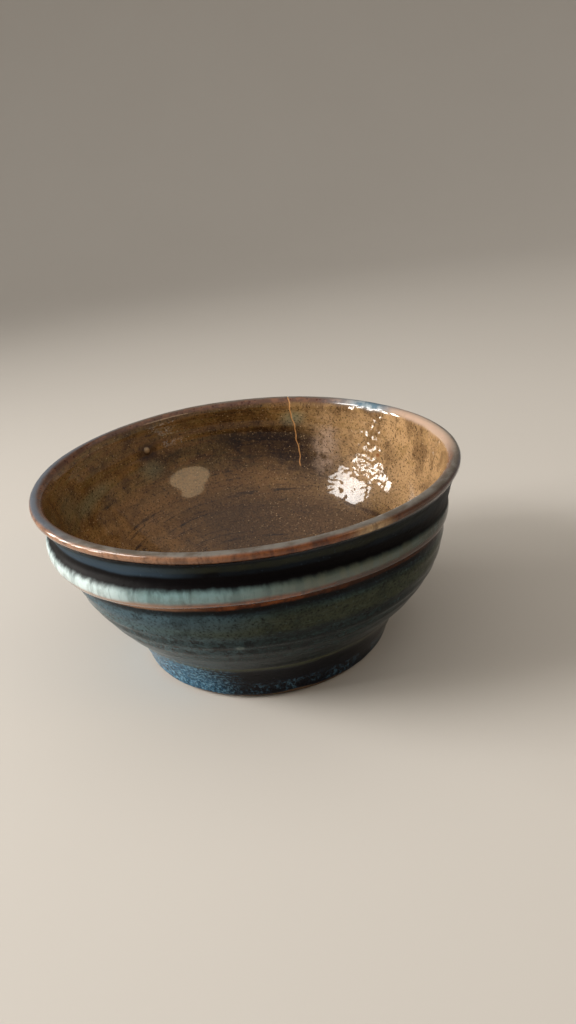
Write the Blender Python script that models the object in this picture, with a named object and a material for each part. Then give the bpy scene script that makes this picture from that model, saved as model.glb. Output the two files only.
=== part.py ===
"""A small wheel-thrown stoneware bowl, glazed inside and out.

It stands on a trimmed foot, flares to a raised ridge, and ends in a short upright
collar with a rounded lip. Metres, +Z up, the foot flat on z = 0.
"""

import math

import bmesh
import bpy

# Lip: the rolled edge at the top of the collar
RIM_RADIUS = 0.0750
RIM_HEIGHT = 0.0707
LIP_THICKNESS = 0.0047
LIP_OUTER_DROP = 0.0016
LIP_OUTER_ROLL = 0.0017
LIP_INNER_DROP = 0.0030
LIP_INNER_ROLL = 0.0021
LIP_UNDERCUT = 0.0022

# Neck: the hollow between the ridge and the lip
NECK_DEPTH = 0.0040
NECK_SPREAD = 1.7

# Ridge: the raised ring that was left around the wall
RIDGE_BOTTOM = 0.0504
RIDGE_WIDTH = 0.0080
RIDGE_RISE = 0.0029
RIDGE_ROOT_RADIUS = 0.0698

# Body: the wall from the foot to the ridge, which flares less towards the top
BODY_TOP_RADIUS = 0.0690
BODY_FOOT_RADIUS = 0.0544
BODY_FOOT_HEIGHT = 0.0188
BODY_CURVE = 2.0
BELLY_RISE = 1.5

# Foot: the trimmed base, with a shallow recess under it
FOOT_TOP_RADIUS = 0.0517
FOOT_TOP_HEIGHT = 0.0158
TOE_RADIUS = 0.0470
TOE_HEIGHT = 0.0052
CONTACT_RADIUS = 0.0440
RECESS_RADIUS = 0.0365
RECESS_DEPTH = 0.0028
RECESS_SLOPE = 0.0012

# Inside: a steep collar over a rounded well
ELBOW_RADIUS = 0.0662
ELBOW_HEIGHT = 0.0500
FLOOR_HEIGHT = 0.0086
WELL_STEEPNESS = 1.2
WELL_ROUNDNESS = 2.4

# Unevenness left by the hand: waves round the bowl, size, bearing of the crest in degrees
RIM_RADIUS_WAVES = ((1, 0.0006, 180), (2, 0.0011, -18), (3, 0.0009, -57))
RIM_HEIGHT_WAVES = ((1, 0.0008, -18), (2, 0.0010, -54))
BELLY_RADIUS_WAVES = ((1, 0.0013, 0),)
BODY_RADIUS_WAVES = ((1, 0.0003, 180),)
RIDGE_RISE_WAVES = ((1, 0.0016, 180), (2, 0.0003, 90))
RIDGE_HEIGHT_WAVES = ((1, 0.0008, -170), (2, 0.0025, -71))
RIDGE_WIDTH_WAVES = ((1, 0.0012, 200),)

SEGMENTS = 72
POLE_MERGE = 0.000001


def arc(centre, reach, start, end, steps):
    """Points on an ellipse about centre, from start to end in degrees, both ends included."""
    points = []
    for step in range(steps + 1):
        angle = math.radians(start + (end - start) * step / steps)
        radius = centre[0] + reach[0] * math.cos(angle)
        height = centre[1] + reach[1] * math.sin(angle)
        points.append((radius, height))
    return points


def foot_profile():
    """From the middle of the underside, over the standing ring and up the toe to the foot's top."""
    toe = (TOE_RADIUS - CONTACT_RADIUS, TOE_HEIGHT)
    return [
        (0.0, RECESS_DEPTH),
        (RECESS_RADIUS - RECESS_SLOPE, RECESS_DEPTH),
        (RECESS_RADIUS, 0.0),
        *arc((CONTACT_RADIUS, TOE_HEIGHT), toe, -90, 0, 4),
        (FOOT_TOP_RADIUS, FOOT_TOP_HEIGHT),
    ]


def body_profile(steps=6):
    """Up the flared wall, which turns slowly towards upright under the ridge."""
    points = []
    for step in range(steps + 1):
        share = step / steps
        radius = BODY_TOP_RADIUS - (BODY_TOP_RADIUS - BODY_FOOT_RADIUS) * (1 - share) ** BODY_CURVE
        height = BODY_FOOT_HEIGHT + (RIDGE_BOTTOM - BODY_FOOT_HEIGHT) * share
        points.append((radius, height))
    return points


def ridge_profile():
    """Out from the body, over the ridge's crest and part of the way back to the neck."""
    centre = (RIDGE_ROOT_RADIUS, RIDGE_BOTTOM + RIDGE_WIDTH / 2)
    return arc(centre, (RIDGE_RISE, RIDGE_WIDTH / 2), -84, 60, 8)


def neck_profile(steps=4):
    """Up from the ridge and outwards, to the underside of the lip."""
    bottom = RIDGE_BOTTOM + RIDGE_WIDTH
    top = RIM_HEIGHT - LIP_OUTER_DROP - LIP_UNDERCUT
    outside = RIM_RADIUS - LIP_UNDERCUT / 2
    inside = RIM_RADIUS - NECK_DEPTH
    points = []
    for step in range(steps):
        share = (step + 0.5) / steps
        radius = inside + (outside - inside) * share**NECK_SPREAD
        points.append((radius, bottom + (top - bottom) * share))
    return points


def lip_profile():
    """Round the lip from its underside, over the top and a little way down inside."""
    widest = RIM_HEIGHT - LIP_OUTER_DROP
    under = arc((RIM_RADIUS - LIP_UNDERCUT, widest), (LIP_UNDERCUT, LIP_UNDERCUT), -60, 0, 2)
    outer = arc((RIM_RADIUS - LIP_OUTER_ROLL, widest), (LIP_OUTER_ROLL, LIP_OUTER_DROP), 22, 90, 3)
    inner_radius = RIM_RADIUS - LIP_THICKNESS
    inner_centre = (inner_radius + LIP_INNER_ROLL, RIM_HEIGHT - LIP_INNER_DROP)
    inner = arc(inner_centre, (LIP_INNER_ROLL, LIP_INNER_DROP), 90, 180, 4)
    return under + outer + inner


def well_radius(height):
    """Radius of the rounded well at a height between its floor and its elbow."""
    depth = (ELBOW_HEIGHT - height) / (ELBOW_HEIGHT - FLOOR_HEIGHT)
    return ELBOW_RADIUS * (1 - depth**WELL_STEEPNESS) ** (1 / WELL_ROUNDNESS)


def inside_profile(collar_steps=3, well_steps=11):
    """Down the inside of the collar to the elbow, then round the well to the middle of the floor."""
    top = (RIM_RADIUS - LIP_THICKNESS, RIM_HEIGHT - LIP_INNER_DROP)
    points = []
    for step in range(1, collar_steps):
        share = step / collar_steps
        radius = top[0] + (ELBOW_RADIUS - top[0]) * share
        points.append((radius, top[1] + (ELBOW_HEIGHT - top[1]) * share))
    for step in range(well_steps):
        sweep = math.sin(math.pi / 2 * step / well_steps)
        height = ELBOW_HEIGHT + (FLOOR_HEIGHT - ELBOW_HEIGHT) * sweep
        points.append((well_radius(height), height))
    points.append((0.0, FLOOR_HEIGHT))
    return points


def bowl_profile():
    """The whole section, from the underside's middle round the wall to the floor's middle."""
    outside = foot_profile() + body_profile() + ridge_profile() + neck_profile()
    return outside + lip_profile() + inside_profile()


def waves(table, bearing):
    """Sum of the cosine waves in a table, at a bearing in radians."""
    return sum(size * math.cos(count * (bearing - math.radians(crest))) for count, size, crest in table)


def smooth_step(low, high, value):
    share = min(max((value - low) / (high - low), 0.0), 1.0)
    return share * share * (3 - 2 * share)


def unevenness(bearing, height, rise):
    """How far a point moves out and up. The foot is true, and the waves grow from there to the rim.

    rise is 0 on the plain wall and up to 1 on the crest of the ridge.
    """
    ridge_top = RIDGE_BOTTOM + RIDGE_WIDTH
    rim_share = smooth_step(ridge_top, RIM_HEIGHT - LIP_INNER_DROP, height)
    climb = min(max(height, 0.0) / RIDGE_BOTTOM, 1.0)
    wall_share = (1 - rim_share) * climb**2
    width_share = wall_share * min(max(height - RIDGE_BOTTOM, 0.0) / RIDGE_WIDTH, 1.0)
    out = wall_share * waves(BODY_RADIUS_WAVES, bearing) + rim_share * waves(RIM_RADIUS_WAVES, bearing)
    out += rise * waves(RIDGE_RISE_WAVES, bearing)
    out += math.sin(math.pi * climb**BELLY_RISE) * waves(BELLY_RADIUS_WAVES, bearing)
    up = wall_share * waves(RIDGE_HEIGHT_WAVES, bearing) + rim_share * waves(RIM_HEIGHT_WAVES, bearing)
    up += width_share * waves(RIDGE_WIDTH_WAVES, bearing)
    return out, up


def ridge_rise(point):
    """0 on the plain wall, 1 on the crest of the ridge."""
    if point not in ridge_profile():
        return 0.0
    return (point[0] - RIDGE_ROOT_RADIUS) / RIDGE_RISE


def turn(mesh, profile):
    """Spin the section round +Z into a closed skin, with each point's share of the ridge's rise."""
    rises = mesh.verts.layers.float.new("rise")
    vertices = [mesh.verts.new((radius, 0.0, height)) for radius, height in profile]
    for vertex, point in zip(vertices, profile):
        vertex[rises] = ridge_rise(point)
    edges = [mesh.edges.new(pair) for pair in zip(vertices, vertices[1:])]
    bmesh.ops.spin(
        mesh,
        geom=vertices + edges,
        cent=(0, 0, 0),
        axis=(0, 0, 1),
        angle=2 * math.pi,
        steps=SEGMENTS,
        use_merge=True,
    )
    bmesh.ops.remove_doubles(mesh, verts=mesh.verts, dist=POLE_MERGE)
    bmesh.ops.recalc_face_normals(mesh, faces=mesh.faces)


def make_uneven(mesh):
    """Move each point of the true turned form by the hand's unevenness."""
    rises = mesh.verts.layers.float["rise"]
    for vertex in mesh.verts:
        radius = math.hypot(vertex.co.x, vertex.co.y)
        if radius < POLE_MERGE:
            continue
        out, up = unevenness(math.atan2(vertex.co.y, vertex.co.x), vertex.co.z, vertex[rises])
        vertex.co.x *= (radius + out) / radius
        vertex.co.y *= (radius + out) / radius
        vertex.co.z += up


def centre_on_axis(mesh):
    """Put the middle of the bowl's width and depth over the origin."""
    for axis in (0, 1):
        low = min(vertex.co[axis] for vertex in mesh.verts)
        high = max(vertex.co[axis] for vertex in mesh.verts)
        for vertex in mesh.verts:
            vertex.co[axis] -= (low + high) / 2


def glaze_material():
    material = bpy.data.materials.new("slate_blue_glaze")
    material.use_nodes = True
    shader = material.node_tree.nodes["Principled BSDF"]
    shader.inputs["Base Color"].default_value = (0.055, 0.075, 0.072, 1.0)
    shader.inputs["Roughness"].default_value = 0.22
    shader.inputs["Metallic"].default_value = 0.0
    return material


def clear_scene():
    for item in list(bpy.data.objects):
        bpy.data.objects.remove(item, do_unlink=True)


def build_bowl():
    mesh = bmesh.new()
    turn(mesh, bowl_profile())
    make_uneven(mesh)
    centre_on_axis(mesh)
    bmesh.ops.triangulate(mesh, faces=mesh.faces)
    data = bpy.data.meshes.new("bowl")
    mesh.to_mesh(data)
    mesh.free()
    data.shade_smooth()
    data.materials.append(glaze_material())
    bowl = bpy.data.objects.new("bowl", data)
    bpy.context.scene.collection.objects.link(bowl)
    return bowl


clear_scene()
build_bowl()
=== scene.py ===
import math

import bpy
import numpy as np
from mathutils import Matrix, Vector


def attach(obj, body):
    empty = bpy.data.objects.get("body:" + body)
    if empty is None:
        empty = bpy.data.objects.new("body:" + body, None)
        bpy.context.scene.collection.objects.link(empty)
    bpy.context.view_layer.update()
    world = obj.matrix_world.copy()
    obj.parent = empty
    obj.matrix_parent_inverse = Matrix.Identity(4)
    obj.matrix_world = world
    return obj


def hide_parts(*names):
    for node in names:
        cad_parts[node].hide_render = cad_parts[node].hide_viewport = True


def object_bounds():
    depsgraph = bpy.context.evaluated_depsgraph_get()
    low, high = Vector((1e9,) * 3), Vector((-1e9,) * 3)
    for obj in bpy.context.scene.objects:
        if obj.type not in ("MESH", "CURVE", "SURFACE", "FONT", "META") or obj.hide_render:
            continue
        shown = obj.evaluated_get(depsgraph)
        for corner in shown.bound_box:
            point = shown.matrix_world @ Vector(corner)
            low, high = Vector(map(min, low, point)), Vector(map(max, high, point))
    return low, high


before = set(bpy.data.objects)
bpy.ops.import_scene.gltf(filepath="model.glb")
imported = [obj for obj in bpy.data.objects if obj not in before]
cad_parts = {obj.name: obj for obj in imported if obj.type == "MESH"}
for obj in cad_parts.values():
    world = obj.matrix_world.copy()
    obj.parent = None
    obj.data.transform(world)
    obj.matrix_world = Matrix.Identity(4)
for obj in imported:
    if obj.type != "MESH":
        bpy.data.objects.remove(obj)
cad_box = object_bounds()

# "Run" is the way along the bowl's section, from the middle of the underside, up the outside,
# over the lip and down to the middle of the floor inside. Runs, depths and reaches of the
# bowl's surface are in millimetres here, and its points and the studio are in metres.
MM = 0.001
TURN = 2 * math.pi

# The middles of the underside and of the floor lie this close to the origin, in metres
POLE_REACH = 0.005
MERGE_REACH = 0.00001
SMOOTHING_LEVELS = 2
EXTRA_CUTS = 3

# Where the bare standing ring ends, and how soon the relief has its full height above it
CONTACT = 46.2
CONTACT_FADE = 1.5

# The crack: its ends, its bearing in degrees at the start, its drift and sway, and its section.
# Sways: size in degrees, pitch along the run, phase.
CRACK_START = 126.0
CRACK_END = 160.5
CRACK_SOFT_END = 1.5
CRACK_BEARING = 76.2
CRACK_DRIFT = -0.150
CRACK_SWAYS = ((0.22, 0.56, 0.0), (0.12, 1.31, 1.0))
CRACK_REACH = 1.44
CRACK_MARGIN = 2.0
GROOVE_DEPTH = 0.24
GROOVE_WIDTH = 0.28
BANK_HEIGHT = 0.05
BANK_PLACE = 0.62

# The run of thick, lumpy glaze down the inside. Its bearing and half width are in degrees, and
# it flares between two places on its way. Lumps: height, pitch across, pitch along, phase.
DRIP_START = 132.0
DRIP_END = 174.0
DRIP_SOFT_END = 5.0
DRIP_LEAST_SHARE = 0.02
DRIP_BEARING = 38.5
DRIP_DRIFT = 0.215
DRIP_SWAYS = ((1.5, 0.19, 0.5),)
DRIP_WIDTH = 3.5
DRIP_FLARE = 2.4
DRIP_FLARE_ENDS = (150.0, 162.0)
DRIP_HEIGHT = 0.35
LUMP_STEEPNESS = 2.7
LUMP_FLATTENING = 2.25
LUMP_FLATTENING_ENDS = (148.0, 158.0)
LUMP_TWIST = 1.6
LUMP_TWIST_PITCHES = (0.9, 0.5)
LUMP_WAVES = (
    (0.055, 0.80, 0.65, 0.0),
    (0.050, -0.45, 1.55, 1.3),
    (0.022, 1.70, -1.63, 2.9),
    (0.020, 0.60, 2.85, 4.1),
    (0.010, -3.10, 1.40, 5.2),
)

# Lumps and pits in the glaze: centre, radius, height
BEADS = (
    ((-42.4, 51.7, 58.9), 1.9, 0.75),
    ((46.2, 53.6, 66.4), 1.8, 0.55),
    ((49.6, 50.6, 68.2), 2.6, 0.35),
    ((55.0, 44.8, 68.8), 3.4, 0.30),
    ((37.9, 44.7, 34.0), 0.9, -0.40),
    ((39.2, 42.0, 32.3), 0.8, -0.35),
    ((-4.9, -63.9, 33.2), 1.1, 0.25),
    ((-30.5, 52.0, 41.0), 0.8, -0.25),
)
BEAD_MARGIN = 1.0

# Rings from the throwing: depth, pitch, phase, share of the drift, and start, end and softness
RING_MARKS = (
    (0.13, 5.6, 0.0, 1.0, 69.0, 102.0, 6.0),
    (0.07, 2.3, 0.0, 1.3, 70.0, 101.0, 6.0),
    (0.06, 5.3, 1.7, 1.0, 134.5, 152.0, 4.0),
)
SPIRAL_DEPTH = 0.10
SPIRAL_PITCH = 8.3
SPIRAL_ENDS = (158.0, 229.0, 10.0)
SPIRAL_SHARE = 0.55

# Swells over the bowl: size, count round it, twist along the run, phase
SPIRAL_PATCHES = ((0.45, 2, 0.09, -0.9),)
GLAZE_SWELLS = ((0.07, 3, 0.12, 0.4), (0.05, 7, -0.21, 2.1))
SWELL_ENDS = (53.0, 226.0, 10.0)

# Waves round the bowl: size, count, phase
RING_DRIFT_WAVES = ((0.5, 2, 0.6),)
GLAZE_EDGE_WAVES = ((0.3, 5, 0.7), (0.2, 13, 1.9))
FOOT_LINE_WAVES = ((0.45, 4, 0.3), (0.30, 9, 1.1), (0.20, 17, 0.0))

# Thick and thin places of the glaze: height, middle and half width along the run
RIDGE_ROLL = (0.22, 105.6, 1.0)
LIP_HOLLOW = (0.10, 128.8, 2.2)
INNER_LIP = (0.45, 133.5, 2.4)

# The skirt of glaze above the standing ring: the line where it ends, its height, and its fade
FOOT_LINE = CONTACT + 2.7
SKIRT_HEIGHT = 0.22
SKIRT_EDGE = 0.25
SKIRT_FADE = (53.0, 66.0)

# The surface starts this far inside the solid, so that the raised places stay in its box
SETBACK = 0.12


# Modelling


def pick_only(piece):
    bpy.ops.object.select_all(action="DESELECT")
    piece.select_set(True)
    bpy.context.view_layer.objects.active = piece


def work_on_whole(piece, tool, **settings):
    """Use one edit-mode tool on the whole mesh."""
    pick_only(piece)
    bpy.ops.object.mode_set(mode="EDIT")
    bpy.ops.mesh.select_all(action="SELECT")
    tool(**settings)
    bpy.ops.object.mode_set(mode="OBJECT")


def copy_of_bowl():
    """The CAD bowl as a mesh of its own, with its loose triangles joined up."""
    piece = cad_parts["bowl"].copy()
    piece.data = piece.data.copy()
    piece.name = "glazed_bowl"
    piece.parent = None
    bpy.context.scene.collection.objects.link(piece)
    pick_only(piece)
    bpy.ops.mesh.customdata_custom_splitnormals_clear()
    work_on_whole(piece, bpy.ops.mesh.remove_doubles, threshold=MERGE_REACH)
    return piece


def make_four_sided(piece):
    limit = math.radians(60)
    join = bpy.ops.mesh.tris_convert_to_quads
    work_on_whole(piece, join, face_threshold=limit, shape_threshold=limit)


def points_of(piece):
    flat = np.empty(len(piece.data.vertices) * 3)
    piece.data.vertices.foreach_get("co", flat)
    return flat.reshape(-1, 3)


def normals_of(piece):
    flat = np.empty(len(piece.data.vertices) * 3)
    piece.data.vertex_normals.foreach_get("vector", flat)
    return flat.reshape(-1, 3)


def place_points(piece, points):
    piece.data.vertices.foreach_set("co", points.ravel())
    piece.data.update()


def neighbours_of(piece):
    """For each point, the points at the other ends of its edges."""
    beside = [[] for _ in piece.data.vertices]
    for edge in piece.data.edges:
        first, second = edge.vertices
        beside[first].append(second)
        beside[second].append(first)
    return beside


def middle_of_underside(points):
    """The number of the lowest point near the axis."""
    return min(
        range(len(points)),
        key=lambda i: (math.hypot(*points[i][:2]) > POLE_REACH, points[i][2]),
    )


def rings_from(start, beside):
    """How many rings of the turned mesh lie between each point and the start."""
    ring = np.full(len(beside), -1)
    ring[start] = 0
    front = [start]
    while front:
        found = []
        for here in front:
            for there in beside[here]:
                if ring[there] < 0:
                    ring[there] = ring[here] + 1
                    found.append(there)
        front = found
    return ring


def measure_run(piece):
    """Write each point's run on the mesh, and give the middle of the foot."""
    points = points_of(piece)
    start = middle_of_underside(points)
    ring = rings_from(start, neighbours_of(piece))
    middle = points[start].copy()
    out = np.hypot(points[:, 0] - middle[0], points[:, 1] - middle[1])
    steps = range(ring.max() + 1)
    radii = np.array([out[ring == step].mean() for step in steps])
    heights = np.array([points[ring == step, 2].mean() for step in steps])
    lengths = np.concatenate(([0.0], np.cumsum(np.hypot(np.diff(radii), np.diff(heights)))))
    run = piece.data.attributes.new("run", "FLOAT", "POINT")
    run.data.foreach_set("value", lengths[ring] / MM)
    return middle


def run_of(piece):
    values = np.empty(len(piece.data.vertices))
    piece.data.attributes["run"].data.foreach_get("value", values)
    return values


def places_of(piece, middle):
    """Each point's run, its bearing in radians round the middle, and its distance from it."""
    from_middle = points_of(piece) - middle
    bearing = np.arctan2(from_middle[:, 1], from_middle[:, 0])
    radius = np.hypot(from_middle[:, 0], from_middle[:, 1]) / MM
    return run_of(piece), bearing, radius


def subdivided(piece, levels):
    modifier = piece.modifiers.new("smooth_form", "SUBSURF")
    modifier.levels = levels
    modifier.render_levels = levels
    pick_only(piece)
    bpy.ops.object.modifier_apply(modifier=modifier.name)


def ramp_up(low, high, values):
    share = np.clip((values - low) / (high - low), 0, 1)
    return share * share * (3 - 2 * share)


def between(low, high, soft, values):
    """1 from low to high and 0 beyond, with soft edges inside the two ends."""
    return ramp_up(low, low + soft, values) * (1 - ramp_up(high - soft, high, values))


def hump(height, middle, half_width, values):
    """A smooth rise about the middle."""
    return height * np.exp(-(((values - middle) / half_width) ** 2))


def waves_round(table, bearing):
    return sum(size * np.sin(bearing * count + phase) for size, count, phase in table)


def sways_along(table, run):
    return sum(size * np.sin(run * pitch + phase) for size, pitch, phase in table)


def swells_over(table, run, bearing):
    return sum(
        size * np.sin(bearing * count + run * twist + phase)
        for size, count, twist, phase in table
    )


def crack_offset(run, bearing, radius):
    """Sideways distance from the crack."""
    place = CRACK_BEARING + CRACK_DRIFT * (run - CRACK_START) + sways_along(CRACK_SWAYS, run)
    return (bearing - np.radians(place)) * radius


def distance_from(centre, points):
    return np.linalg.norm(points / MM - np.array(centre), axis=1)


def refine_near_details(piece, middle):
    """Finer faces along the crack and the thick glaze and around the lumps and pits."""
    points = points_of(piece)
    run, bearing, radius = places_of(piece, middle)
    along = (run > CRACK_START - CRACK_MARGIN) & (run < CRACK_END + CRACK_MARGIN)
    near = along & (np.abs(crack_offset(run, bearing, radius)) < CRACK_REACH)
    for centre, reach, _ in BEADS:
        near |= distance_from(centre, points) < reach + BEAD_MARGIN
    near |= drip_share(run, bearing) > DRIP_LEAST_SHARE
    pick_only(piece)
    bpy.ops.object.mode_set(mode="EDIT")
    bpy.ops.mesh.select_all(action="DESELECT")
    bpy.ops.object.mode_set(mode="OBJECT")
    for face in piece.data.polygons:
        face.select = all(near[corner] for corner in face.vertices)
    bpy.ops.object.mode_set(mode="EDIT")
    bpy.ops.mesh.select_mode(type="FACE")
    bpy.ops.mesh.subdivide(number_cuts=EXTRA_CUTS, smoothness=0)
    bpy.ops.object.mode_set(mode="OBJECT")


def throwing_marks(run, bearing):
    """The low rings that the fingers left, outside and in, and their spiral in the well."""
    drift = waves_round(RING_DRIFT_WAVES, bearing)
    marks = sum(
        depth * np.sin(run * TURN / pitch + phase + share * drift) * between(*ends, run)
        for depth, pitch, phase, share, *ends in RING_MARKS
    )
    patchy = SPIRAL_SHARE + swells_over(SPIRAL_PATCHES, run, bearing)
    spiral = SPIRAL_DEPTH * np.sin(run * TURN / SPIRAL_PITCH + bearing)
    return marks + spiral * patchy * between(*SPIRAL_ENDS, run)


def thick_glaze(run, bearing):
    """Where the glaze is thicker: soft swells, the ridge's foot, the inner lip and the skirt."""
    swell = swells_over(GLAZE_SWELLS, run, bearing) * between(*SWELL_ENDS, run)
    edge = 0.5 + waves_round(GLAZE_EDGE_WAVES, bearing)
    roll = edge * hump(*RIDGE_ROLL, run)
    hollow = (1 - edge) * hump(*LIP_HOLLOW, run)
    end = foot_line(bearing)
    skirt = SKIRT_HEIGHT * ramp_up(end - SKIRT_EDGE, end + SKIRT_EDGE, run)
    skirt = skirt * (1 - ramp_up(*SKIRT_FADE, run))
    inner = hump(*INNER_LIP, run)
    return swell + roll - hollow + inner + skirt - SETBACK


def foot_line(bearing):
    """Where along the run the glaze ends above the standing ring."""
    return FOOT_LINE + waves_round(FOOT_LINE_WAVES, bearing)


def drip_share(run, bearing):
    """1 along the middle of the thick run of glaze, 0 away from it. It is widest at its foot."""
    place = DRIP_BEARING + DRIP_DRIFT * (run - DRIP_START) + sways_along(DRIP_SWAYS, run)
    width = DRIP_WIDTH * (1 + DRIP_FLARE * ramp_up(*DRIP_FLARE_ENDS, run))
    along = between(DRIP_START, DRIP_END, DRIP_SOFT_END, run)
    return hump(1, place, width, np.degrees(bearing)) * along


def drip_height(run, bearing, radius):
    """A raised run with small lumps that catch the light."""
    across = bearing * radius
    pitch_across, pitch_along = LUMP_TWIST_PITCHES
    twist = LUMP_TWIST * np.sin(pitch_across * across + pitch_along * run)
    lumps = sum(
        size * np.sin(first * across + second * run + phase + twist)
        for size, first, second, phase in LUMP_WAVES
    )
    steep = LUMP_STEEPNESS - LUMP_FLATTENING * ramp_up(*LUMP_FLATTENING_ENDS, run)
    return drip_share(run, bearing) * (DRIP_HEIGHT + lumps * steep)


def beads_and_pits(points):
    height = np.zeros(len(points))
    for centre, reach, rise in BEADS:
        away = distance_from(centre, points) / reach
        height += rise * np.clip(1 - away**2, 0, 1) ** 2
    return height


def crack_depth(run, bearing, radius):
    """A narrow groove with slightly raised banks."""
    offset = np.abs(crack_offset(run, bearing, radius))
    banks = hump(BANK_HEIGHT, BANK_PLACE, GROOVE_WIDTH, offset)
    groove = hump(GROOVE_DEPTH, 0, GROOVE_WIDTH, offset)
    return between(CRACK_START, CRACK_END, CRACK_SOFT_END, run) * (banks - groove)


def keep_inside(points, low, high):
    """No point goes past the CAD model's box."""
    return np.clip(points, np.array(low), np.array(high))


def work_surface(piece, middle):
    """Raise and sink the skin along its normals by all the fine relief."""
    points = points_of(piece)
    run, bearing, radius = places_of(piece, middle)
    height = throwing_marks(run, bearing) + thick_glaze(run, bearing)
    height += beads_and_pits(points) + crack_depth(run, bearing, radius)
    height += drip_height(run, bearing, radius)
    height *= ramp_up(CONTACT, CONTACT + CONTACT_FADE, run) * MM
    points = points + normals_of(piece) * height[:, None]
    place_points(piece, keep_inside(points, *cad_box))


def glazed_bowl():
    piece = copy_of_bowl()
    middle = measure_run(piece)
    make_four_sided(piece)
    subdivided(piece, SMOOTHING_LEVELS)
    refine_near_details(piece, middle)
    work_surface(piece, middle)
    piece.data.shade_smooth()
    return piece, middle


# Materials


class Value:
    """A node's socket. Arithmetic on it adds Math nodes."""

    def __init__(self, finish, socket):
        self.finish = finish
        self.socket = socket

    def __add__(self, other):
        return self.finish.maths("ADD", self, other)

    def __sub__(self, other):
        return self.finish.maths("SUBTRACT", self, other)

    def __mul__(self, other):
        return self.finish.maths("MULTIPLY", self, other)

    def __radd__(self, other):
        return self.finish.maths("ADD", other, self)

    def __rsub__(self, other):
        return self.finish.maths("SUBTRACT", other, self)

    def __rmul__(self, other):
        return self.finish.maths("MULTIPLY", other, self)


class Finish:
    """The nodes of a material, or of the studio's sky."""

    def __init__(self, owner):
        self.owner = owner
        owner.use_nodes = True
        self.tree = owner.node_tree
        self.tree.nodes.clear()

    def node(self, kind, settings=None, inputs=None, output=0):
        made = self.tree.nodes.new(kind)
        for name, setting in (settings or {}).items():
            if name == "stops":
                self.set_stops(made.color_ramp, setting)
            else:
                setattr(made, name, setting)
        for name, value in (inputs or {}).items():
            if isinstance(value, Value):
                self.tree.links.new(value.socket, made.inputs[name])
            else:
                made.inputs[name].default_value = value
        return Value(self, made.outputs[output])

    def set_stops(self, ramp, stops):
        while len(ramp.elements) < len(stops):
            ramp.elements.new(0.5)
        for element, (place, colour) in zip(ramp.elements, stops):
            element.position = place
            element.color = (*colour, 1)

    def maths(self, operation, *values):
        return self.node("ShaderNodeMath", {"operation": operation}, dict(enumerate(values)))

    def vectors(self, operation, *values, output=0):
        settings = {"operation": operation}
        return self.node("ShaderNodeVectorMath", settings, dict(enumerate(values)), output)

    def scaled(self, vector, scale):
        return self.vectors("MULTIPLY", vector, scale)

    def axis_of(self, vector, axis):
        return self.node("ShaderNodeSeparateXYZ", None, {0: vector}, axis)

    def attribute(self, name):
        return self.node("ShaderNodeAttribute", {"attribute_name": name}, output="Fac")

    def position(self):
        return self.node("ShaderNodeTexCoord", output="Object")

    def rise(self, value, low, high):
        """0 below low, 1 above high, smooth between. High may be the lower one."""
        ends = {"Value": value, "From Min": low, "From Max": high}
        return self.node("ShaderNodeMapRange", {"interpolation_type": "SMOOTHSTEP"}, ends)

    def band(self, value, low, high, soft):
        """1 from low to high, 0 beyond, with both edges soft."""
        started = self.rise(value, low - soft, low + soft)
        return started * self.rise(value, high + soft, high - soft)

    def mix(self, share, first, second):
        colours = {0: share, 6: as_colour(first), 7: as_colour(second)}
        return self.node("ShaderNodeMix", {"data_type": "RGBA"}, colours, output=2)

    def noise(self, vector, scale, detail=3.0, roughness=0.55, distortion=0.0):
        inputs = {"Vector": vector, "Scale": scale, "Detail": detail}
        inputs.update({"Roughness": roughness, "Distortion": distortion})
        return self.node("ShaderNodeTexNoise", None, inputs)

    def cells(self, vector, scale, output):
        return self.node("ShaderNodeTexVoronoi", None, {"Vector": vector, "Scale": scale}, output)

    def ramp(self, share, stops):
        return self.node("ShaderNodeValToRGB", {"stops": stops}, {"Fac": share})

    def shown(self, shader, kind="ShaderNodeOutputMaterial"):
        surface = self.tree.nodes.new(kind)
        self.tree.links.new(shader.socket, surface.inputs["Surface"])
        return self.owner


def as_colour(value):
    return value if isinstance(value, Value) else (*value, 1)


def linear(channel):
    return ((channel / 255 + 0.055) / 1.055) ** 2.4 if channel > 10 else channel / 255 / 12.92


def srgb(red, green, blue):
    """A colour on the 0 to 255 scale, as linear light."""
    return linear(red), linear(green), linear(blue)


# The inside
AMBER = srgb(136, 98, 54)
DEEP_AMBER = srgb(76, 51, 26)
OLIVE = srgb(118, 94, 50)
GOLD = srgb(166, 126, 76)
DULL_GOLD = srgb(150, 114, 76)
# Painted light: the lighter gold of the lit right wall
LIT_RIGHT_GOLD = srgb(204, 168, 124)
WARM_TAN = srgb(158, 118, 70)
WELL_BROWN = srgb(124, 90, 62)
DEEP_WELL = srgb(50, 32, 22)
DEEP_WELL_STREAK = srgb(84, 58, 34)
PLUM = srgb(36, 18, 13)
PALE_GREEN = srgb(132, 134, 108)
# Painted reflection of the room on the inner wall
MILKY_REFLECTION = srgb(206, 176, 152)
DARK_LINE = srgb(42, 25, 20)
DASH_BROWN = srgb(34, 22, 14)
SPECKLE = srgb(24, 15, 10)
TAN_FLECK = srgb(190, 160, 122)
# Painted shadow round the lump in the back wall
BEAD_SHADOW = srgb(40, 20, 14)
CRACK_GOLD = srgb(196, 142, 88)

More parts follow.
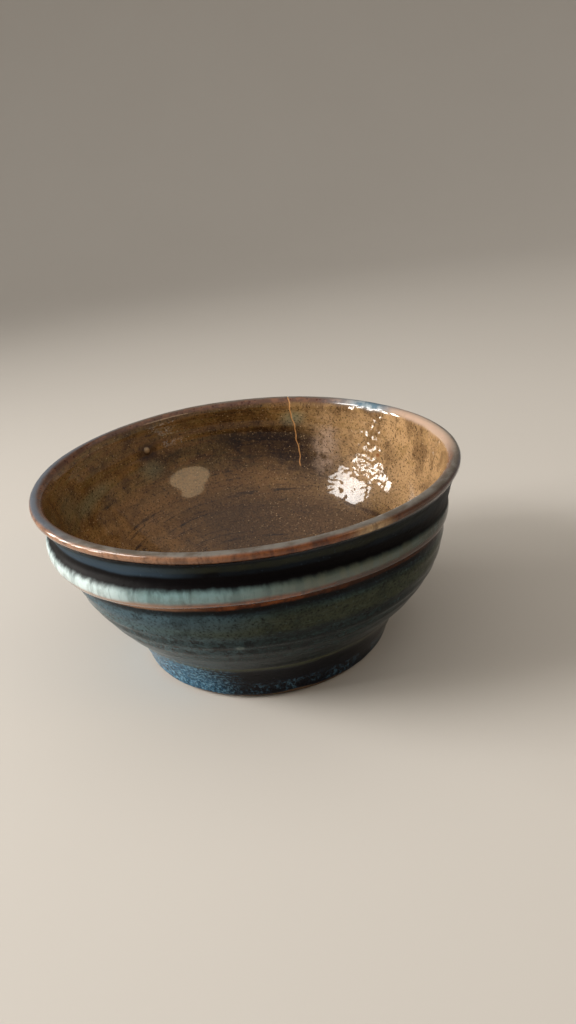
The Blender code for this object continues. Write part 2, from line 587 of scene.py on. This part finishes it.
# The lip
RUST = srgb(98, 52, 26)
ORANGE = srgb(130, 76, 40)
# Painted light, painted shade and a painted highlight on the copper edges
LIT_PEACH = srgb(150, 112, 86)
SHADED_BROWN_EDGE = srgb(72, 50, 36)
COPPER_HIGHLIGHT = srgb(206, 176, 130)
COPPER_SPECK = srgb(60, 34, 24)
COPPER_STREAK = srgb(58, 36, 26)
LIP_GREY = srgb(114, 110, 104)
WARM_GREY = srgb(92, 84, 76)
LIP_BLUE = srgb(88, 98, 112)
LIP_BROWN = srgb(92, 64, 50)
LIGHT_LIP_BROWN = srgb(120, 82, 60)
RED_SPECK = srgb(70, 30, 18)
PALE_ASH = srgb(170, 160, 150)
# Painted highlight on the right inner lip
INNER_LIP_HIGHLIGHT = srgb(196, 170, 150)
TEAL = srgb(72, 108, 128)
PALE_TEAL = srgb(140, 158, 168)
LIP_THREAD = srgb(176, 118, 62)

# The neck and the ridge
BLACK_GLAZE = srgb(9, 7, 8)
BLUE_BLACK = srgb(20, 26, 32)
# Steel-blue glaze, also painted as a sheen on the neck's left
STEEL_AND_SHEEN = srgb(58, 74, 88)
MOSS = srgb(58, 58, 40)
CELADON = srgb(116, 144, 146)
CELADON_STREAK = srgb(70, 88, 86)
CELADON_SHADE = srgb(76, 84, 76)
# Painted light on the ridge's lit left
LIT_ICE = srgb(204, 220, 220)
SAGE = srgb(92, 98, 86)
# Painted shade on the ridge's right
SHADED_SAGE = srgb(62, 66, 54)
DEEP_SHADED_SAGE = srgb(30, 33, 29)
BRIGHT_RUST = srgb(122, 66, 32)
DARK_RUST = srgb(76, 39, 20)
# Painted shade on the rusty edge's right
SHADED_RUST_EDGE = srgb(42, 24, 15)

# The body and the foot
SLATE = srgb(44, 62, 62)
DARK_SLATE = srgb(22, 30, 30)
# Pale slate: pale flecks, and painted light on the body's lit left
PALE_SLATE_AND_LIGHT = srgb(88, 114, 122)
GREEN_SLATE = srgb(66, 84, 80)
# Painted shade low on the body
SHADED_LOW_SLATE = srgb(17, 23, 23)
STEEL_SLATE = srgb(62, 84, 98)
SLATE_CLOUD = srgb(20, 27, 27)
SLATE_GRAIN = srgb(14, 18, 18)
SLATE_SPECK = srgb(10, 12, 12)
SOOT = srgb(14, 16, 18)
OCHRE = srgb(66, 68, 46)
INK_BLUE = srgb(20, 30, 40)
PALE_BEAD = srgb(130, 144, 138)
FOOT_BLACK = srgb(12, 10, 16)
FOOT_NIGHT = srgb(20, 24, 32)
FOOT_GRAIN = srgb(12, 16, 24)
FOOT_BLUE = srgb(46, 86, 112)
CRYSTAL_BLUE = srgb(100, 144, 168)
FROST = srgb(160, 190, 200)
CLAY = srgb(108, 88, 70)
DARK_CLAY = srgb(88, 70, 56)
CLAY_SPECK = srgb(48, 36, 28)

# Where one zone of the glaze gives way to the next along the run: full at the second place
FOOT_TO_BODY = (65.4, 67.4)
RIDGE_TO_BODY = (102.6, 101.4)
RIDGE_TO_RUSTY_EDGE = (109.4, 107.6)
NECK_TO_RIDGE = (114.0, 111.8)
NECK_TO_LIP = (123.6, 124.8)
LIP_EDGE_TO_GREY = (126.7, 127.9)
LIP_GREY_TO_BROWN = (128.8, 130.8)
LIP_TO_INSIDE = (131.4, 133.2)

# Blots in the glaze: centre, size, share
PLUM_BLOTS = (
    ((6, 65, 52), (24, 14, 8), 0.95),
    ((20, 61, 48), (13, 11, 7), 0.9),
    ((30, 57, 41), (11, 11, 7), 0.75),
    ((-33, 56, 54), (12, 8, 2.5), 0.5),
)
GREEN_BLOTS = (
    ((-60.5, 29, 53), (7, 8, 2.6), 0.5),
    ((-64.5, 17.9, 51), (7, 7, 2.4), 0.4),
    ((-42, 50.5, 50.5), (5, 4, 3), 0.45),
    ((20.5, 66.0, 62), (4.5, 4, 2.6), 0.7),
    ((-66, 6, 56), (5, 9, 6), 0.3),
)

# Single blots: centre, size, softness
# Painted reflection on the right inner wall
MILKY_REFLECTION_BLOT = ((33, 58, 48), (4.6, 5, 11), 0.9)
# Painted shadow round the lump, and a painted highlight on its tip
BEAD_SHADOW_BLOT = ((-42.4, 51.7, 58.2), (4.2, 3.6, 2.8), 0.5)
BEAD_HIGHLIGHT_BLOT = ((-42.4, 51.7, 59.1), (1.2, 1.2, 1.1), 0.4)
ORANGE_FLECK_BLOT = ((53.7, 41.3, 50.0), (1.0, 1.0, 0.9), 0.3)
# Painted highlight on the lip's front right
LIP_HIGHLIGHT_BLOT = ((38, -66, 69), (6, 5, 3), 0.7)
TEAL_LIP_BLOT = ((50, 50, 69), (15, 12, 4.2), 0.8)
PALE_BEAD_BLOT = ((-4.9, -63.9, 33.2), (1.2, 1.2, 1.2), 0.5)


class GlazeCoat(Finish):
    """The bowl's glaze, zone by zone along the run.

    Bands are given by two places along the run, and sides by a bearing and a width in degrees.
    """

    def __init__(self, middle):
        super().__init__(bpy.data.materials.new("reduction_glaze"))
        self.place = self.position()
        self.run = self.attribute("run")
        self.x = self.axis_of(self.place, "X") - middle.x
        self.y = self.axis_of(self.place, "Y") - middle.y
        self.radius = self.maths("SQRT", self.x * self.x + self.y * self.y)
        self.bearing = self.maths("ARCTAN2", self.y, self.x)
        around = {"X": self.x, "Y": self.y, "Z": self.run * MM}
        self.around = self.node("ShaderNodeCombineXYZ", None, around)
        self.cloud = self.noise(self.around, 48, 5, 0.6)
        self.fine_cloud = self.noise(self.around, 190, 5, 0.65)
        self.grain = self.noise(self.around, 1150, 3, 0.7)
        self.streak = self.noise(self.scaled(self.around, (26, 26, 300)), 1.0, 5, 0.62, 0.7)
        self.drips = self.noise(self.scaled(self.around, (330, 330, 70)), 1.0, 4, 0.6, 0.4)
        self.wander = (self.noise(self.around, 75, 4, 0.6) - 0.5) * 1.3
        self.crack = self.crack_share()
        self.clay = self.clay_share()

    def patch(self, centre, size, soft):
        """1 inside an uneven blot of that size about the centre."""
        from_centre = self.vectors("SUBTRACT", self.place, tuple(c * MM for c in centre))
        share = self.scaled(from_centre, tuple(1 / (s * MM) for s in size))
        away = self.vectors("LENGTH", share, output="Value")
        return self.rise(away + self.wander * 1.1, 1 + soft, 1 - soft)

    def dots(self, scale, size, share):
        """Small round spots. Share is how many of the cells have one."""
        near = self.rise(self.cells(self.place, scale, "Distance"), size, size * 0.55)
        colour = self.cells(self.place, scale, "Color")
        chosen = self.node("ShaderNodeSeparateColor", None, {0: colour})
        return near * self.rise(chosen, share + 0.02, share - 0.02)

    def facing(self, bearing, width):
        """1 on the side that has this bearing, 0 beyond the width."""
        turn = math.radians(bearing)
        towards = self.x * math.cos(turn) + self.y * math.sin(turn)
        share = self.maths("DIVIDE", towards, self.radius + 0.0001)
        half = math.radians(width)
        return self.rise(share, math.cos(half), math.cos(half * 0.45))

    def crack_share(self):
        """1 on the crack. It follows the groove of crack_offset."""
        place = (self.run - CRACK_START) * math.radians(CRACK_DRIFT) + math.radians(CRACK_BEARING)
        for size, pitch, phase in CRACK_SWAYS:
            place = place + self.maths("SINE", self.run * pitch + phase) * math.radians(size)
        offset = self.maths("ABSOLUTE", (self.bearing - place) * self.radius * (1 / MM))
        along = self.band(self.run, CRACK_START, CRACK_END, 0.6)
        return self.rise(offset + self.fine_cloud * 0.12, 0.42, 0.22) * along

    def clay_share(self):
        """1 on the bare clay under the glaze's end. It follows foot_line."""
        end = FOOT_LINE
        for size, count, phase in FOOT_LINE_WAVES:
            end = end + self.maths("SINE", self.bearing * count + phase) * size
        return self.rise(self.run - end, SKIRT_EDGE, -SKIRT_EDGE)

    def inside_colour(self):
        low = self.rise(self.run + self.wander * 6, 153, 166)
        colour = self.inside_ground(low)
        colour = self.inside_blots(colour)
        colour = self.throwing_lines(colour)
        colour = self.inside_specks(colour)
        return self.lump_colours(colour)

    def inside_ground(self, low):
        """Streaked amber, browner in the well, with painted light: a lighter gold on the right
        wall, where the light falls.
        """
        stops = ((0.30, DEEP_AMBER), (0.46, AMBER), (0.58, OLIVE), (0.76, GOLD))
        ground = self.ramp(self.streak, stops)
        ground = self.mix(low * 0.6, ground, self.mix(self.cloud, WELL_BROWN, AMBER))
        # Painted light: the right wall is painted a lighter gold where the light falls.
        lit_right_wall = self.facing(12, 74) * self.rise(self.run + self.wander * 5, 190, 160)
        gold = self.mix(self.fine_cloud, DULL_GOLD, LIT_RIGHT_GOLD)
        ground = self.mix(lit_right_wall * 0.95, ground, gold)
        mottle = self.rise(self.fine_cloud + self.cloud, 0.84, 1.24)
        ground = self.mix(mottle * (0.75 - low * 0.35), ground, DEEP_AMBER)
        thin = self.rise(self.fine_cloud + self.streak, 1.02, 0.76)
        ground = self.mix(thin * 0.4, ground, OLIVE)
        deep = self.rise(self.run + self.wander * 4, 164, 180) * self.facing(45, 110)
        return self.mix(deep * 0.75, ground, self.mix(self.streak, DEEP_WELL, DEEP_WELL_STREAK))

    def inside_blots(self, colour):
        """Dark plum, warm tan and pale green patches on the walls, and a milky painted
        reflection.
        """
        broken = self.rise(self.streak + self.fine_cloud * 0.5, 0.55, 0.80) * 0.45 + 0.55
        for centre, size, share in PLUM_BLOTS:
            colour = self.mix(self.patch(centre, size, 0.8) * broken * share, colour, PLUM)
        warm = self.facing(205, 100) * self.rise(self.run + self.wander * 5, 150, 164)
        warm = warm * self.rise(self.fine_cloud, 0.66, 0.36)
        colour = self.mix(warm * 0.6, colour, WARM_TAN)
        # A painted reflection: a milky pale patch where the glaze mirrors the room.
        haze = self.patch(*MILKY_REFLECTION_BLOT) * self.rise(self.fine_cloud, 0.30, 0.62)
        colour = self.mix(haze * 0.75, colour, MILKY_REFLECTION)
        for centre, size, share in GREEN_BLOTS:
            colour = self.mix(self.patch(centre, size, 0.9) * share, colour, PALE_GREEN)
        return colour

    def throwing_lines(self, colour):
        """Thin dark lines and dashes that run round the inside."""
        lines = self.noise(self.scaled(self.around, (30, 30, 560)), 1.0, 5, 0.65, 1.0)
        dark_line = self.rise(lines, 0.54, 0.63) * self.rise(self.run, 156, 176)
        dark_line = dark_line * self.rise(self.cloud, 0.36, 0.60)
        colour = self.mix(dark_line * 0.75, colour, DARK_LINE)
        dashes = self.rise(lines + self.fine_cloud * 0.4, 0.80, 0.90) * self.facing(120, 80)
        return self.mix(dashes * 0.7, colour, DASH_BROWN)

    def inside_specks(self, colour):
        colour = self.mix(self.rise(self.grain, 0.52, 0.64) * 0.62, colour, SPECKLE)
        colour = self.mix(self.rise(self.grain, 0.42, 0.32) * 0.30, colour, TAN_FLECK)
        colour = self.mix(self.dots(860, 0.30, 0.42) * 0.8, colour, SPECKLE)
        return self.mix(self.dots(900, 0.26, 0.16) * 0.7, colour, TAN_FLECK)

    def lump_colours(self, colour):
        """A painted shadow round the lump in the back wall, a painted highlight on its tip, and
        one orange fleck.
        """
        # Painted shadow round the lump and a painted highlight on its tip.
        colour = self.mix(self.patch(*BEAD_SHADOW_BLOT) * 0.8, colour, BEAD_SHADOW)
        colour = self.mix(self.patch(*BEAD_HIGHLIGHT_BLOT) * 0.7, colour, TAN_FLECK)
        return self.mix(self.patch(*ORANGE_FLECK_BLOT) * 0.8, colour, ORANGE)

    def lip_copper(self):
        """The copper break on the lip's outer edge, with painted light on the lit left, painted
        shade on the right and a painted highlight spot at the front right.
        """
        copper = self.mix(self.rise(self.fine_cloud, 0.40, 0.62), ORANGE, RUST)
        # Painted light on the lit left, painted shade on the right, and a painted highlight spot
        # at the front right.
        copper = self.mix(self.facing(215, 62) * 0.9, copper, LIT_PEACH)
        copper = self.mix(self.facing(335, 46) * 0.8, copper, SHADED_BROWN_EDGE)
        copper = self.mix(self.patch(*LIP_HIGHLIGHT_BLOT) * 0.7, copper, COPPER_HIGHLIGHT)
        copper = self.mix(self.rise(self.grain, 0.52, 0.66) * 0.45, copper, COPPER_SPECK)
        return self.mix(self.rise(self.drips, 0.48, 0.66) * 0.55, copper, COPPER_STREAK)

    def lip_zones(self, run, back, outside):
        """From the neck over the lip's edge and top to its inner side."""
        share = self.facing(264, 100) + self.facing(85, 70) * 0.7
        edge = self.mix(share, self.mix(self.fine_cloud, STEEL_AND_SHEEN, LIP_BLUE), self.lip_copper())
        lip = self.mix(self.rise(run, *NECK_TO_LIP), outside, edge)
        grey = self.mix(self.rise(self.fine_cloud, 0.40, 0.62), LIP_GREY, WARM_GREY)
        grey = self.mix(self.facing(178, 52) * 0.8, grey, LIP_BLUE)
        lip = self.mix(self.rise(run, *LIP_EDGE_TO_GREY), lip, grey)
        brown = self.mix(self.rise(self.fine_cloud, 0.45, 0.6), LIP_BROWN, LIGHT_LIP_BROWN)
        return self.mix(self.rise(run, *LIP_GREY_TO_BROWN) * back, lip, brown)

    def lip_accents(self, run, back, lip):
        """Red specks, pale ash, a painted highlight on the right inner lip, the teal patch and
        the thin copper thread.
        """
        specks = self.dots(620, 0.42, 0.6) * self.band(self.run, 130.4, 132.6, 0.4)
        lip = self.mix(specks * back * 0.9, lip, RED_SPECK)
        pale = self.band(run, 126.2, 128.6, 0.6) * self.facing(120, 50)
        lip = self.mix(pale * 0.5, lip, PALE_ASH)
        # A painted highlight along the right inner lip.
        lip_highlight = self.band(run, 128.4, 132.8, 0.8) * self.facing(22, 42)
        lip = self.mix(lip_highlight * 0.7, lip, INNER_LIP_HIGHLIGHT)
        teal = self.mix(self.rise(self.fine_cloud, 0.46, 0.64), TEAL, PALE_TEAL)
        lip = self.mix(self.patch(*TEAL_LIP_BLOT) * 0.9, lip, teal)
        thread = self.band(self.run, 133.2, 133.8, 0.25) * self.facing(62, 24)
        return self.mix(thread * 0.9, lip, LIP_THREAD)

    def lip_colour(self, inside, outside):
        run = self.run + self.wander * 1.1
        back = 1 - self.facing(280, 66)
        lip = self.lip_accents(run, back, self.lip_zones(run, back, outside))
        return self.mix(self.rise(run, *LIP_TO_INSIDE), lip, inside)

    def neck_colour(self):
        neck = self.mix(self.rise(self.cloud, 0.4, 0.62), BLUE_BLACK, BLACK_GLAZE)
        moss = self.band(self.run + self.wander * 2.2, 118.6, 122.2, 0.9) * self.facing(262, 66)
        neck = self.mix(moss * 0.75, neck, self.mix(self.fine_cloud, BLUE_BLACK, MOSS))
        # A painted reflection: a blue-grey sheen on the left of the neck.
        steel = self.facing(216, 46) * self.band(self.run + self.wander, 116.6, 121.8, 1.2)
        neck = self.mix(steel * 0.7, neck, STEEL_AND_SHEEN)
        neck = self.mix(self.dots(620, 0.24, 0.25) * 0.25, neck, STEEL_AND_SHEEN)
        return self.mix(self.band(self.run + self.wander, 112.6, 116.4, 0.7), neck, BLACK_GLAZE)

    def ridge_celadon(self):
        """Painted light and shade: icy on the lit left, sage in front and painted shade on the
        right.
        """
        # Painted light: the lit left is paler and icier; painted shade darkens the right.
        pale = self.mix(self.facing(222, 66), SAGE, CELADON)
        pale = self.mix(self.facing(210, 36) * 0.85, pale, LIT_ICE)
        pale = self.mix(self.facing(345, 62) * 0.75, pale, SHADED_SAGE)
        pale = self.mix(self.facing(0, 48) * 0.85, pale, DEEP_SHADED_SAGE)
        pale = self.mix(self.rise(self.drips, 0.44, 0.62) * 0.45, pale, CELADON_STREAK)
        return self.mix(self.rise(self.fine_cloud, 0.45, 0.65) * 0.35, pale, CELADON_SHADE)

    def ridge_colour(self, body, neck):
        run = self.run + self.wander * 1.2
        upper = self.rise(run + self.drips * 1.6, *NECK_TO_RIDGE)
        ridge = self.mix(upper, neck, self.ridge_celadon())
        rust = self.mix(self.rise(self.fine_cloud, 0.42, 0.6), BRIGHT_RUST, DARK_RUST)
        # Painted light on the lit left of the rusty edge, painted shade on its right.
        edge = self.mix(self.facing(218, 44), rust, LIT_PEACH)
        edge = self.mix(self.facing(330, 60) * 0.85, edge, SHADED_RUST_EDGE)
        ridge = self.mix(self.rise(run, *RIDGE_TO_RUSTY_EDGE), ridge, edge)
        return self.mix(self.rise(run, *RIDGE_TO_BODY), ridge, body)

    def body_bands(self, run):
        """Ochre, slate and steel bands, with painted light on the lit left and painted shade
        towards the foot.
        """
        body = self.mix(self.rise(self.streak, 0.32, 0.64), SLATE, DARK_SLATE)
        # Painted light: the lit left side is paler.
        body = self.mix(self.facing(215, 62) * 0.55, body, PALE_SLATE_AND_LIGHT)
        ochre = self.band(run, 90.5, 98.0, 1.8) * self.facing(296, 66)
        body = self.mix(ochre * 0.6, body, OCHRE)
        body = self.mix(self.band(run, 84.0, 88.5, 1.6) * 0.5, body, DARK_SLATE)
        body = self.mix(self.band(run, 73.0, 78.0, 1.4) * 0.2, body, GREEN_SLATE)
        # Painted shade: darker towards the foot, less so on the lit left.
        low = self.rise(run, 86, 74) * (1 - self.facing(205, 56) * 0.6)
        body = self.mix(low * 0.6, body, SHADED_LOW_SLATE)
        steel = self.band(run, 94.0, 100.0, 1.6) * self.facing(228, 50)
        return self.mix(steel * 0.5, body, STEEL_SLATE)

    def body_colour(self):
        run = self.run + self.wander * 3.0
        body = self.body_bands(run)
        cluster = self.noise(self.around, 330, 4, 0.65)
        sooty = self.band(run, 75.0, 90.0, 2.0) * self.rise(cluster, 0.50, 0.58)
        body = self.mix(sooty * 0.8, body, SOOT)
        body = self.mix(self.rise(run, 98.6, 100.6) * 0.85, body, INK_BLUE)
        # Partly dark glaze pooled under the ridge, partly painted shadow of its overhang; lighter
        # on the lit left.
        pooled_glaze_and_shadow = self.rise(self.run + self.wander * 1.2, 99.4, 100.8)
        body = self.mix(pooled_glaze_and_shadow * (1 - self.facing(218, 46) * 0.7), body, BLACK_GLAZE)
        body = self.mix(self.rise(self.fine_cloud, 0.46, 0.62) * 0.45, body, SLATE_CLOUD)
        body = self.mix(self.rise(self.grain, 0.50, 0.62) * 0.6, body, SLATE_GRAIN)
        body = self.mix(self.dots(620, 0.30, 0.34) * 0.7, body, SLATE_SPECK)
        body = self.mix(self.rise(self.grain, 0.40, 0.30) * 0.2, body, PALE_SLATE_AND_LIGHT)
        return self.mix(self.patch(*PALE_BEAD_BLOT) * 0.3, body, PALE_BEAD)

    def foot_colour(self, body):
        """Black with pale blue crystals, thickest on the left."""
        run = self.run + self.wander * 1.6
        foot = self.mix(self.rise(self.cloud, 0.4, 0.65), FOOT_BLACK, FOOT_NIGHT)
        left = self.facing(213, 50)
        haze = self.rise(self.cloud + self.fine_cloud * 0.4, 0.46, 0.72) * left
        foot = self.mix(haze * 0.95, foot, FOOT_BLUE)
        black = self.band(run, 57.0, 63.6, 1.2) * (1 - left)
        foot = self.mix(black * 0.85, foot, BLACK_GLAZE)
        frost = self.noise(self.around, 820, 4, 0.75)
        low = self.band(run, 49.6, 54.8, 1.0) * self.rise(self.fine_cloud, 0.40, 0.55)
        spread = self.maths("MAXIMUM", left * 0.95, low * 0.32)
        foot = self.mix(self.rise(frost, 0.47, 0.60) * spread, foot, CRYSTAL_BLUE)
        foot = self.mix(self.rise(frost, 0.60, 0.70) * left * 0.45, foot, FROST)
        foot = self.mix(self.rise(self.grain, 0.50, 0.60) * 0.75, foot, FOOT_GRAIN)
        foot = self.mix(self.band(run, 64.6, 66.2, 0.8) * 0.7, foot, OCHRE)
        return self.mix(self.rise(run, *FOOT_TO_BODY), foot, body)

    def clay_colour(self):
        clay = self.mix(self.rise(self.fine_cloud, 0.35, 0.65), CLAY, DARK_CLAY)
        return self.mix(self.dots(700, 0.3, 0.25), clay, CLAY_SPECK)

    def colour(self):
        outside = self.ridge_colour(self.foot_colour(self.body_colour()), self.neck_colour())
        glaze = self.lip_colour(self.inside_colour(), outside)
        glaze = self.mix(self.crack, glaze, CRACK_GOLD)
        return self.mix(self.clay, glaze, self.clay_colour())

    def roughness(self):
        lip = self.band(self.run, 126.8, 131.4, 1.0) * self.facing(270, 90)
        neck = self.band(self.run, 111.6, 122.5, 0.8)
        glaze = 0.10 + self.rise(self.streak, 0.35, 0.75) * 0.12 + lip * 0.18 + neck * 0.26
        return glaze + self.fine_cloud * 0.12 + self.clay * 0.6

    def coat(self):
        """The wet gloss: strong inside, on the ridge and on the lip, weak elsewhere."""
        inside = self.rise(self.run, 130, 134)
        ridge = self.band(self.run, 104, 111, 0.8) * (0.9 - self.facing(0, 60) * 0.6)
        lip = self.band(self.run, 123.5, 134, 0.6)
        neck = self.band(self.run, 111.6, 122.5, 0.8)
        glaze = 0.08 + inside * 0.77 + ridge + lip * 0.6 - neck * 0.08
        return glaze * (1 - self.clay)

    def relief(self):
        """Orange-peel, pinholes and the matt tooth of the clay."""
        skin = self.noise(self.around, 240, 3, 0.55) * 0.8 + self.fine_cloud * 0.6
        skin = skin + self.grain * 0.12
        lumpy = self.rise(self.run, 132, 140) * self.rise(self.run, 182, 168)
        lumpy = lumpy * self.facing(40, 50)
        lumps = self.noise(self.around, 330, 3, 0.65, 1.2) * lumpy
        holes = self.dots(520, 0.20, 0.34) + self.dots(300, 0.17, 0.30) * (0.6 + lumpy)
        height = skin + lumps * 1.3 - holes * 1.1
        height = height + self.clay * self.grain * 1.4 - self.crack * 0.6
        bump = {"Height": height, "Strength": 0.6, "Distance": 0.0003}
        return self.node("ShaderNodeBump", None, bump, "Normal")

    def finished(self):
        inputs = {
            "Base Color": self.colour(),
            "Roughness": self.roughness(),
            "Coat Weight": self.coat(),
            "Coat Roughness": 0.06,
            "Coat IOR": 1.5,
            "IOR": 1.11,
            "Normal": self.relief(),
        }
        return self.shown(self.node("ShaderNodeBsdfPrincipled", None, inputs))


# Studio

FLOOR_SIZE = 8
FLOOR_STRIPS = 160
SWEEP_START = 0.9
SWEEP_RADIUS = 0.7
FLOOR_PALE = srgb(204, 200, 194)
FLOOR_SHADE = srgb(194, 189, 182)

# All lamps point here
LIT_POINT = (0, 0, 0.05)

# The window: its middle, and the number, pitch, size, power, colour and spread of its panes
WINDOW_PLACE = (-1.5, 0.12, 0.38)
PANES = 4
PANE_PITCH = 0.27
PANE_SIZE = (PANE_PITCH * 0.6, 0.48)
PANE_POWER = 0.78
PANE_COLOUR = (1.0, 0.95, 0.88)
LAMP_SPREAD = 60

# The sky: its colour, its strength at the horizon and what it gains overhead
SKY_COLOUR = (0.84, 0.79, 0.73, 1)
SKY_AT_HORIZON = 0.30
SKY_OVERHEAD_GAIN = 0.62

# The camera: its place from the foot's middle, the directions of its frame, and its lens in mm
CAMERA_PLACE = (0.01253483, -0.26784377, 0.17174612)
CAMERA_RIGHT = Vector((0.99429912, -0.04481936, -0.09674959))
CAMERA_UP = Vector((0.10662672, 0.41794263, 0.90219438))
CAMERA_AHEAD = Vector((0, 0.90736717, -0.42033894))
LENS = 28.125
SENSOR = 36


def studio_floor():
    """A pale sweep: flat under the bowl, and curving up far behind it."""
    bpy.ops.object.select_all(action="DESELECT")
    bpy.ops.mesh.primitive_grid_add(
        x_subdivisions=2, y_subdivisions=FLOOR_STRIPS, size=FLOOR_SIZE
    )
    floor = bpy.context.object
    floor.name = "studio_floor"
    points = points_of(floor)
    past = np.maximum(points[:, 1] - SWEEP_START, 0)
    angle = np.minimum(past / SWEEP_RADIUS, math.pi / 2)
    rise = np.maximum(past - SWEEP_RADIUS * math.pi / 2, 0)
    points[:, 1] = np.minimum(points[:, 1], SWEEP_START) + SWEEP_RADIUS * np.sin(angle)
    points[:, 2] = SWEEP_RADIUS * (1 - np.cos(angle)) + rise
    place_points(floor, points)
    floor.data.shade_smooth()
    floor.data.materials.append(floor_paint())


def floor_paint():
    paint = Finish(bpy.data.materials.new("pale_floor"))
    shade = paint.noise(paint.position(), 6, 2)
    inputs = {"Base Color": paint.mix(shade * 0.3, FLOOR_PALE, FLOOR_SHADE), "Roughness": 0.8}
    return paint.shown(paint.node("ShaderNodeBsdfPrincipled", None, inputs))


def soft_light(name, shape, place, size, power, colour, spread):
    lamp = bpy.data.lights.new(name, "AREA")
    lamp.shape = shape
    lamp.size, lamp.size_y = size
    lamp.energy = power
    lamp.color = colour
    lamp.spread = math.radians(spread)
    light = bpy.data.objects.new(name, lamp)
    light.location = place
    ahead = Vector(LIT_POINT) - Vector(place)
    light.rotation_euler = ahead.to_track_quat("-Z", "Y").to_euler()
    bpy.context.scene.collection.objects.link(light)


def window_panes():
    """Upright panes side by side, which the glaze mirrors as separate lights."""
    x, y, z = WINDOW_PLACE
    for pane in range(PANES):
        place = (x, y + (pane - (PANES - 1) / 2) * PANE_PITCH, z)
        name = f"pane_{pane}"
        soft_light(name, "RECTANGLE", place, PANE_SIZE, PANE_POWER, PANE_COLOUR, LAMP_SPREAD)


def studio_sky():
    """An even glow that is brightest overhead."""
    sky = Finish(bpy.data.worlds.new("studio"))
    height = sky.axis_of(sky.node("ShaderNodeTexCoord", output="Generated"), "Z")
    strength = SKY_AT_HORIZON + sky.rise(height, 0.30, 1.0) * SKY_OVERHEAD_GAIN
    glow = sky.node("ShaderNodeBackground", None, {"Color": SKY_COLOUR, "Strength": strength})
    bpy.context.scene.world = sky.shown(glow, "ShaderNodeOutputWorld")


def studio_light():
    studio_sky()
    window_panes()
    place, size, colour = (-1.15, -0.16, 0.90), (0.62, 0.36), (1.0, 0.97, 0.93)
    soft_light("skylight", "RECTANGLE", place, size, 1.5, colour, LAMP_SPREAD)
    place, size, colour = (0.78, -0.58, 0.84), (0.52, 0.26), (1.0, 0.74, 0.44)
    soft_light("fill", "ELLIPSE", place, size, 1.1, colour, 180)


def studio_camera(middle):
    """The photograph's view: a wide lens from a little above, with the far left side high."""
    lens = bpy.data.cameras.new("camera")
    lens.lens = LENS
    lens.sensor_width = SENSOR
    lens.clip_start = 0.01
    camera = bpy.data.objects.new("camera", lens)
    turn = Matrix((CAMERA_RIGHT, CAMERA_UP, -CAMERA_AHEAD)).transposed()
    camera.matrix_world = Matrix.Translation(Vector(CAMERA_PLACE) + middle) @ turn.to_4x4()
    bpy.context.scene.collection.objects.link(camera)
    bpy.context.scene.camera = camera
    bpy.context.scene.view_settings.view_transform = "Standard"


def main():
    bowl, middle = glazed_bowl()
    middle = Vector((middle[0], middle[1], 0))
    glaze = GlazeCoat(middle).finished()
    bowl.data.materials.clear()
    bowl.data.materials.append(glaze)
    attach(bowl, "root")
    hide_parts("bowl")
    studio_floor()
    studio_light()
    studio_camera(middle)


main()
